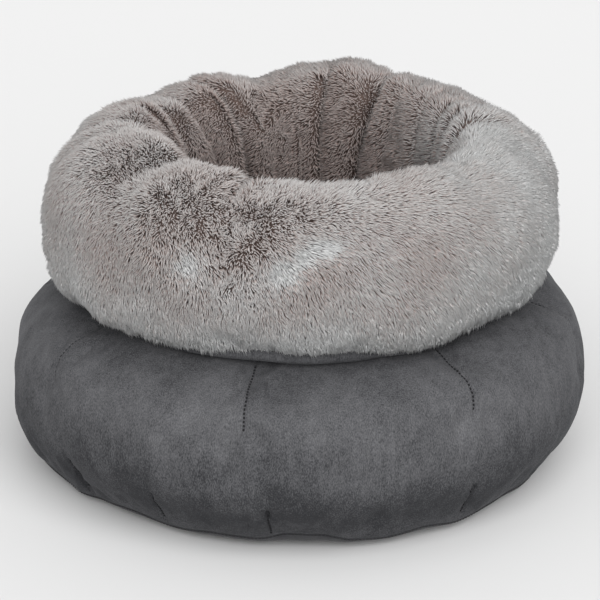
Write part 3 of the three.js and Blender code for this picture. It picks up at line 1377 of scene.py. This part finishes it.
    def bottom(self, panel: Sheet, finishes: Finishes) -> None:
        """Makes the bottom panel out to the side panel's lower edge, and its seam.

        Args:
            panel: the finished side panel.
            finishes: the bed's materials.
        """
        edge = panel.points[0]
        radius = np.linalg.norm(edge[:, :2], axis=1)[None] - 0.4 * MM
        quarter = np.radians(np.linspace(0, 90, 14))[:, None]
        flat_radius, flat = radius - 38 * MM, 0.6 * MM
        out = flat_radius + (radius - flat_radius) * np.cos(quarter)
        rise = edge[None, :, 2] + (flat - edge[None, :, 2]) * np.sin(quarter)
        share = np.linspace(1, 0, 12)[1:, None]
        out = np.vstack([out, np.maximum(flat_radius * share, 0.4 * MM)])
        rise = np.vstack([rise, np.full((11, radius.shape[1]), flat)])
        sheet = Sheet(turned(out, rise, panel.angles[None, :]), panel.angles)
        base = cloth_piece("bottom_panel_cloth", sheet, BED, self.wall, flipped=True)
        dress(base, finishes.grip, "anti_slip", "bottom_panel")
        normal = panel.slopes()[0][0]
        path = edge + normal * 0.2 * MM - np.array([0, 0, 0.8 * MM])
        stitching = Stitching(pitch=2.8 * MM, length=2.3 * MM)
        stitching.seam("bottom_seam_stitches", path, normal, BED, finishes.thread, "bottom_seam_thread")


# ---- Collar -----------------------------------------------------------------------------------


@dataclass(frozen=True)
class Crease:
    """A deep fold of the collar: its angle at the crest and at the throat, depth, width and first row."""

    crest: float
    throat: float
    depth: float
    width: float
    first: float


@dataclass
class PlushCollar:
    """The plush roll on top: skin, pile, suede underside, hem and filling."""

    ring: float = 137 * MM
    half_width: float = 66.6 * MM
    middle: float = 202 * MM
    upper_reach: float = 68 * MM
    lower_reach: float = 69 * MM
    fullness: float = 2.24
    throat: float = 104 * MM
    throat_drop: float = 56 * MM
    well: float = 106 * MM
    neck_height: float = 153 * MM
    hem_height: float = 151 * MM
    pile_depth: float = 9 * MM
    wall: float = 1.5 * MM
    crest_rows: float = 0.56
    heights: Places = (
        (-165, -9), (-150, -3), (-129, -9), (-112, -3), (-97, -6), (-84, 3), (-70, 6), (-58, 6), (-46, 2),
        (-33, 6), (-24, 4), (-15, -3), (-4, -1), (14, -2), (28, -1), (39, 1), (48, -2), (62, 0), (85, 3),
        (100, 4), (117, -3), (133, 2), (145, 2), (152, -1), (163, 7), (176, 2),
    )
    widths: Places = (
        (-165, 0), (-150, -2), (-125, -3), (-113, -2), (-100, -9), (-88, -9), (-72, -2), (-45, 0), (0, 0),
        (55, -1), (82, -5), (100, -1), (130, 1), (160, 0),
    )
    inward: Places = (
        (-120, 0), (-100, 2), (-84, 10), (-68, 15), (-55, 13), (-40, 7), (-24, 2), (0, 0), (90, 0),
    )
    strip: Places = ((-60, 0), (-27, 0), (-12, 1), (12, 1), (22, 0), (60, 0))
    hem_lift: float = 3.0 * MM
    hem_drop: float = 3.5 * MM
    creases: tuple[Crease, ...] = (
        Crease(-93, -76, 13 * MM, 7.5 * MM, 0.26),
        Crease(-111, -122, 6 * MM, 4.5 * MM, 0.48),
        Crease(-119, -135, 6 * MM, 5 * MM, 0.48),
        Crease(-131, -150, 3 * MM, 6 * MM, 0.52),
        Crease(-146, -161, 11 * MM, 5 * MM, 0.48),
        Crease(150, 155, 12 * MM, 5.5 * MM, 0.48),
        Crease(170, 169, 7 * MM, 4.5 * MM, 0.56),
        Crease(138, 141, 2.5 * MM, 6 * MM, 0.6),
        Crease(127, 121, 3.5 * MM, 5 * MM, 0.56),
        Crease(118, 105, 5 * MM, 5 * MM, 0.52),
        Crease(107, 89, 11 * MM, 5.5 * MM, 0.44),
        Crease(92, 74, 8 * MM, 5.5 * MM, 0.44),
        Crease(-17, -17, 7 * MM, 4 * MM, 0.50),
        Crease(20, 24, 5 * MM, 5 * MM, 0.54),
        Crease(-44, -40, 6 * MM, 5 * MM, 0.52),
        Crease(58, 50, 6 * MM, 6 * MM, 0.56),
    )
    brushed: tuple[Brushed, ...] = (
        Brushed(-24.0, 0.265, 4.0, 0.045, -50, 0.85),
        Brushed(-3.6, 0.28, 4.6, 0.05, -60, 1.0),
        Brushed(0.4, 0.312, 4.0, 0.042, -35, 1.0),
        Brushed(4.4, 0.338, 5.8, 0.038, -12, 1.0),
        Brushed(-12, 0.37, 5, 0.04, 70, 0.3),
        Brushed(14, 0.22, 7, 0.04, -50, 0.35),
    )

    def outline(self, count: int) -> Array:
        """Radius and height of the pile's outside, from the hem out, over the crest and down.

        Args:
            count: number of points.

        Returns:
            Radius and height of each point.
        """
        centre = (self.ring, self.middle)
        hem = angle_at_share((self.middle - self.hem_height) / self.lower_reach, self.fullness)
        crest = self.middle + self.upper_reach
        below = arch(centre, (self.half_width, -self.lower_reach), self.fullness, hem, 0, 60)
        above = arch(centre, (self.half_width, self.upper_reach), self.fullness, 0, 90, 90)
        down = (self.throat - self.ring, self.throat_drop)
        inner = arch((self.ring, crest - self.throat_drop), down, self.fullness, 90, 0, 60)
        line = np.vstack([below, above[1:], inner[1:], [[self.well, self.neck_height]]])
        return evenly(line, count)

    def shaped(self) -> Sheet:
        """The plush's backing, in from the pile's outside, with lobes and folds.

        Returns:
            The backing's sheet, before it is filled.
        """
        line = inset(self.outline(72), self.pile_depth)
        angle = around(300)[None, :]
        share = np.linspace(0, 1, len(line))[:, None]
        lift = swell(angle, self.heights) * MM
        above = ease(line[:, 1:], self.hem_height, self.middle + self.upper_reach - self.pile_depth)
        inside = 1 - 0.75 * ease(share, self.crest_rows + 0.1, 1)
        height = line[:, 1:] + lift * above * inside
        hem = swell(angle, self.strip) * self.hem_lift - self.hem_drop
        height = height + hem * (1 - ease(share, 0, 0.2))
        outside = ease(share, 0, 0.12) * (1 - ease(share, 0.4, 0.6))
        leaning = ease(share, 0.36, 0.56) * (1 - ease(share, 0.72, 0.98))
        wider = swell(angle, self.widths) * outside - swell(angle, self.inward) * leaning
        radius = line[:, :1] + wider * MM
        sheet = Sheet(turned(radius, height, angle), angle[0])
        out = np.zeros(height.shape)
        for crease in self.creases:
            reach = ease(share, self.crest_rows - 0.12, 1)
            where = crease.crest + (crease.throat - crease.crest) * reach
            where = where + 1.3 * np.sin(9 * share + crease.crest)
            side = ((angle - np.radians(where) + np.pi) % TURN - np.pi) * radius
            on = ease(share, crease.first - 0.08, crease.first + 0.1) * (1 - 0.4 * ease(share, 0.8, 1))
            out -= crease.depth * on * hump(side, crease.width)
            out += 0.14 * crease.depth * on * hump(np.abs(side) - 2.6 * crease.width, 1.6 * crease.width)
        inner = ease(share, self.crest_rows + 0.05, 0.95)
        folds = ripple(np.stack([angle * 0.105 + 0 * share, 0 * angle + share * 0.02], axis=-1), 0.03, 51)
        out += 0.8 * MM * inner * folds
        out += 1.6 * MM * ripple(sheet.points, 0.09, 52) * (1 - 0.7 * inner)
        return sheet.moved_out(out)

    def build(self, pile: Pile, finishes: Finishes, neck: Pair) -> None:
        """Makes and dresses every piece of the collar, on a neck of this radius and height.

        Args:
            pile: the collar's pile.
            finishes: the bed's materials.
            neck: radius and height of the base's neck.
        """
        shaped = self.shaped()
        pinned = np.zeros(shaped.points.shape[:2], bool)
        pinned[[0, -1]] = True
        filled = inflated(shaped, pinned, pressure=1.6, spare=0.02, cap=3.5 * MM, steps=12)
        skin = cloth_piece("collar_backing", filled.resampled(80, around(320)), BED, self.wall)
        dress(skin, finishes.backing, "plush", "collar_plush")
        lie = Lie(self.hang, self.calm, self.tone_and_painted_shading, self.brushed)
        pile.planted("collar_pile_outer", filled, (0.0, 0.6), 6, BED, finishes.plush, "plush", lie)
        lie = Lie(nowhere, self.calm, self.tone_and_painted_shading)
        inside = replace(pile, length=0.85 * pile.length, spacing=1.1 * pile.spacing)
        inside.planted("collar_pile_inner", filled, (0.6, 0.985), 3, BED, finishes.plush, "plush", lie)
        self.underside(filled, finishes, neck)
        low = np.array([[132, 168], [165, 168]]) * MM
        outline = np.vstack([inset(self.outline(30), self.pile_depth + 13 * MM)[1:-1], low])
        stuffing("collar_stuffing", outline, 120, BED, 1.2 * MM, finishes.fibre, "collar_filling")

    def hang(self, row: Array, angle: Array) -> Array:
        """How hard the pile is combed down: most at the hem, a little on the outside."""
        lifted = swell(angle, self.strip)
        return (0.85 - 0.25 * lifted) * (1 - ease(row, 0.0, 0.15)) + 0.2 * (1 - ease(row, 0.1, 0.35))

    def calm(self, row: Array, angle: Array) -> Array:
        """How smoothly the pile lies: ruffled left of the middle in front, and in the throat's back.

        Args:
            row: share of the sheet's rows, from the hem.
            angle: angle round the bed, in radians.

        Returns:
            0 where it is ruffled, 1 where it is smooth.
        """
        low = 1 - ease(row, 0, 0.3)
        ruffled = hump(apart(angle, -22) - np.radians(18 * low), np.radians(35 + 24 * low))
        ruffled = ruffled * (1 - ease(row, 0.5, 0.62))
        crest = ease(row, 0.38, 0.52) * (1 - ease(row, 0.58, 0.66))
        ruffled = ruffled + 0.35 * hump(apart(angle, 180), np.radians(80)) * crest
        inner = (0.45 * hump(apart(angle, 172), np.radians(40)) + 0.15) * ease(row, 0.56, 0.66)
        return (1 - ruffled - inner).clip(0, 1) * (0.5 + 0.5 * ease(row, 0.02, 0.2))

    def tone_and_painted_shading(self, row: Array, angle: Array) -> Array:
        """Painted shade on the rim's back and in the throat, painted light on the right, lighter at the hem.

        Args:
            row: share of the sheet's rows, from the hem.
            angle: angle round the bed, in radians.

        Returns:
            What is added to the tone.
        """
        inner = ease(row, 0.56, 0.66)
        # painted shade over the back of the rim
        back = -0.26 * hump(apart(angle, 180), np.radians(80)) * ease(row, 0.36, 0.5) * (1 - inner)
        # painted shade down inside the throat, deepest at the bottom, with painted light on its right
        throat = (-0.48 + 0.54 * hump(apart(angle, 98), np.radians(44)) - 0.42 * ease(row, 0.7, 0.95)) * inner
        # painted light on the outer right
        right = 0.2 * hump(apart(angle, 76), np.radians(30)) - 0.1 * hump(apart(angle, 26), np.radians(14))
        right = right * (1 - inner)
        low = 0.16 * hump(apart(angle, 18), np.radians(45)) * (1 - ease(row, 0.16, 0.3))
        return back + throat + right + low + 0.42 * (1 - ease(row, 0.02, 0.18))

    def underside(self, skin: Sheet, finishes: Finishes, neck: Pair) -> None:
        """Makes the suede strip between the hem and the neck, and both seams.

        Args:
            skin: the filled backing.
            finishes: the bed's materials.
            neck: radius and height of the base's neck.
        """
        hem, angles = skin.points[0], skin.angles
        edge = np.linalg.norm(hem[:, :2], axis=1)[None]
        lifted = swell(angles, self.strip)[None]
        bulge = np.array([0, 2.6, 4.6, 4.8, 3.6, 1.0, -3.0, -9.0])[:, None] * MM
        drop = np.array([0, -2.8, -7.0, -10.5, -13.6, -15.4, -16.0, -15.0])[:, None] * MM
        radius = edge + bulge * lifted
        height = hem[None, :, 2] + drop * (0.5 + 0.34 * lifted)
        share = np.linspace(0, 1, 14)[1:, None]
        inner = radius[-1:] + (neck[0] - radius[-1:]) * share
        seat = np.array([(117, 153.6), (150, 153.0), (165, 150.6), (178, 148.0)]) * MM
        flat = np.interp(inner, seat[:, 0], seat[:, 1])
        flat = flat + (height[-1:] - flat) * (1 - ease(share, 0, 0.5))
        sheet = Sheet(turned(np.vstack([radius, inner]), np.vstack([height, flat]), angles[None, :]), angles)
        strip = cloth_piece("collar_underside_cloth", sheet, BED, 1.2 * MM, flipped=True)
        dress(strip, finishes.suede, "suede", "collar_underside")
        stitching = Stitching(pitch=3 * MM)
        ones = np.ones(len(angles))
        outward = unit(turned(ones, -0.6 * ones, angles))
        path = sheet.points[1] + outward * 0.4 * MM
        stitching.seam("hem_stitches", path, outward, BED, finishes.thread, "hem_seam_thread")
        path = turned((neck[0] - 1.2 * MM) * ones, neck[1] * ones, angles)
        inward = turned(-ones, 0 * ones, angles)
        stitching.seam("neck_stitches", path, inward, BED, finishes.thread, "neck_seam_thread")


# ---- Well and cushion ----------------------------------------------------------------------------


@dataclass
class Well:
    """The plush-lined well inside the base, with its sewn-in floor."""

    radius: float = 113 * MM
    floor: float = 22 * MM
    top: float = 151.5 * MM
    wall: float = 1.4 * MM

    def build(self, pile: Pile, finishes: Finishes) -> None:
        """Makes and dresses the lining, its pile, the floor, its wadding and its seam.

        Args:
            pile: the lining's pile.
            finishes: the bed's materials.
        """
        angle = around(240)[None, :]
        share = np.linspace(1, 0, 30)[:, None]
        height = self.floor + 1 * MM + (self.top - self.floor - 1 * MM) * share + 0 * angle
        spot = np.stack([angle * 0.11 + 0 * share, share * 0.03 + 0 * angle], axis=-1)
        radius = self.radius + 0.9 * MM * ripple(spot, 0.03, 61)
        lining = Sheet(turned(radius, height, angle), angle[0])
        cloth = cloth_piece("well_lining_cloth", lining, BED, self.wall)
        dress(cloth, finishes.backing, "lining_plush", "well_lining")
        # painted shade on the well's pile, deep inside the bed
        pile.planted("well_pile", lining, (0.02, 0.66), 2, BED, finishes.plush, "lining_plush", shade=-0.12)
        cloth = self.disc("floor_cloth", self.floor, 1.6 * MM, 0.3 * MM)
        dress(cloth, finishes.under, "lining_plush", "floor_panel")
        pad = self.disc("floor_wadding_pad", self.floor - 2.4 * MM, 16.5 * MM, 0.4 * MM)
        dress(pad, finishes.fibre, "fibre", "floor_wadding")
        ones = np.ones(angle.size)
        ring = turned((self.radius - 7.4 * MM) * ones, (self.floor + 0.7 * MM) * ones, angle[0])
        up = np.tile([0.0, 0.0, 1.0], (angle.size, 1))
        stitching = Stitching(pitch=3 * MM)
        stitching.seam("floor_seam_stitches", ring, up, BED, finishes.thread, "floor_seam_thread")

    def disc(self, name: str, top: float, thick: float, lumps: float) -> Piece:
        """A round pad with soft lumps on top and closed edges.

        Args:
            name: the piece's name.
            top: height of its upper face.
            thick: its thickness.
            lumps: how far its top rises and falls.

        Returns:
            The new object.
        """
        under, rim = top - thick, self.radius - 3 * MM
        outline = np.array([
            [0.5 * MM, under], [0.05, under], [0.09, under], [rim, under],
            [self.radius - 1.6 * MM, top - thick / 2], [rim, top], [0.09, top], [0.05, top], [0.5 * MM, top],
        ])
        columns = 96
        points = turned(outline[:, :1], outline[:, 1:], around(columns)[None, :])
        points[..., 2] += lumps * (ripple(points, 0.05, 71) - 1.5) * (points[..., 2] > top - thick / 4)
        return mesh_piece(name, points.reshape(-1, 3), ring_quads(len(outline), columns, closed=True), BED)


@dataclass
class LooseCushion:
    """The loose floor cushion: two covers, the seam between them, filling and pile."""

    low: Vector
    high: Vector
    seam: float = 47 * MM
    flat: float = 80 * MM
    shy: float = 7 * MM
    fullness: float = 2.4
    wall: float = 1.4 * MM

    def cover(self, half: Half) -> Sheet:
        """One cover before it is filled: the upper from the seam in, the lower from the middle out.

        Args:
            half: which cover.

        Returns:
            The cover's sheet.
        """
        radius = self.high.x - self.shy
        if half is Half.UPPER:
            reach = (radius, self.high.z - self.shy - self.seam)
            line = evenly(arch((0, self.seam), reach, self.fullness, 0, 90, 80), 30)
        else:
            reach = (radius - self.flat, self.low.z - self.seam)
            side = arch((self.flat, self.seam), reach, self.fullness, 90, 0, 40)
            line = evenly(np.vstack([[[0, self.low.z]], side]), 30)
        line[:, 0] = np.maximum(line[:, 0], 0.4 * MM)
        angle = around(180)
        return Sheet(turned(line[:, :1], line[:, 1:], angle[None, :]), angle)

    def build(self, pile: Pile, finishes: Finishes) -> None:
        """Makes and dresses every piece of the cushion.

        Args:
            pile: the top cover's pile.
            finishes: the bed's materials.
        """
        upper = self.cover(Half.UPPER)
        pinned = np.zeros(upper.points.shape[:2], bool)
        pinned[[0, -1]] = True
        top = inflated(upper, pinned, pressure=1.5, spare=0.02, cap=5 * MM, steps=12)
        cloth = cloth_piece("cushion_top_backing", top, CUSHION, self.wall)
        dress(cloth, finishes.backing, "cushion_plush", "cushion_top_cover")
        rows = (0.02, 0.985)
        # a little painted shade on the cushion's pile, down in the well
        pile.planted("cushion_pile", top, rows, 2, CUSHION, finishes.plush, "cushion_plush", shade=-0.02)
        cloth = cloth_piece("cushion_bottom_cloth", self.cover(Half.LOWER), CUSHION, self.wall)
        dress(cloth, finishes.under, "cushion_plush", "cushion_bottom_cover")
        ones = np.ones(len(upper.angles))
        outward = turned(ones, 0 * ones, upper.angles)
        path = upper.points[0] + outward * 0.4 * MM
        Stitching(pitch=2.8 * MM).seam(
            "cushion_seam_stitches", path, outward, CUSHION, finishes.thread, "cushion_seam_thread"
        )
        under, over = self.low.z, self.high.z
        line = np.array([
            [0.5 * MM, under + 4 * MM], [0.07, under + 4 * MM], [0.082, under + 11 * MM], [0.086, self.seam],
            [0.082, self.seam + 8 * MM], [0.06, over - 15 * MM], [0.5 * MM, over - 13 * MM],
        ])
        stuffing("cushion_stuffing", line, 96, CUSHION, 0, finishes.fibre, "cushion_filling")


# ---- Stage ------------------------------------------------------------------------------------------


SUNS = (  # name, place, spread in degrees and strength
    ("key", (0.42, -1.5, 1.3), 70, 3.25),
    ("fill", (-1.2, -1.4, 1.0), 80, 0.5),
    ("back", (0.4, 1.0, 1.6), 60, 0.12),
)
LENS = 144.5
CAMERA_RISE = 21.9  # degrees over level
CAMERA_DISTANCE = 1.9
CAMERA_AIM = (0.0008, 0, 0.1216)


def stand_at(thing: Piece, place: tuple[float, ...], aim: tuple[float, ...]) -> None:
    """Puts a lamp or a camera in its place, looking at a point.

    Args:
        thing: the lamp or the camera.
        place: where it stands.
        aim: what it looks at.
    """
    thing.location = place
    thing.rotation_euler = (Vector(aim) - thing.location).to_track_quat("-Z", "Y").to_euler()
    bpy.context.scene.collection.objects.link(thing)


def build_stage() -> None:
    """Adds a pale floor, soft studio light and the camera."""
    bpy.ops.mesh.primitive_plane_add(size=12)
    floor = bpy.context.object
    floor.name = "floor_sheet"
    paper = Finish("pale_floor", Roughness=0.9, Specular_IOR_Level=0.1)
    paper.surface.inputs["Base Color"].default_value = (0.66, 0.66, 0.66, 1)
    floor.data.materials.append(paper.material)
    world = bpy.data.worlds.new("studio")
    world.use_nodes = True
    world.node_tree.nodes["Background"].inputs["Color"].default_value = (1, 1, 1, 1)
    world.node_tree.nodes["Background"].inputs["Strength"].default_value = 0.62
    bpy.context.scene.world = world
    for name, place, spread, strength in SUNS:
        light = bpy.data.lights.new(name, "SUN")
        light.angle, light.energy = np.radians(spread), strength
        stand_at(bpy.data.objects.new(name, light), place, (0, 0, 0.1))
    eye = bpy.data.cameras.new("camera")
    eye.lens, eye.sensor_width, eye.clip_end = LENS, 36, 50
    camera = bpy.data.objects.new("camera", eye)
    rise = np.radians(CAMERA_RISE)
    place = (0, -CAMERA_DISTANCE * np.cos(rise), 0.13 + CAMERA_DISTANCE * np.sin(rise))
    stand_at(camera, place, CAMERA_AIM)
    bpy.context.scene.camera = camera
    bpy.context.scene.view_settings.view_transform = "Standard"


def main() -> None:
    """Builds the bed around its frame."""
    logging.basicConfig(level=logging.INFO, format="%(name)s: %(message)s")
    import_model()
    build_stage()
    finishes = Finishes.made()
    base = SuedeBase(radius=Vector(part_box("base_side_panel")[1]).x)
    base.build(finishes)
    PlushCollar().build(Pile(seed=100), finishes, (base.neck, base.crown))
    Well().build(Pile(length=8 * MM, spacing=2.3 * MM, width=1.6 * MM, seed=300), finishes)
    low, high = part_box("cushion_bottom_cover")[0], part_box("cushion_top_cover")[1]
    pile = Pile(length=8 * MM, spacing=1.5 * MM, droop=0.1, seed=400)
    LooseCushion(Vector(low), Vector(high)).build(pile, finishes)


if __name__ == "__main__":
    main()
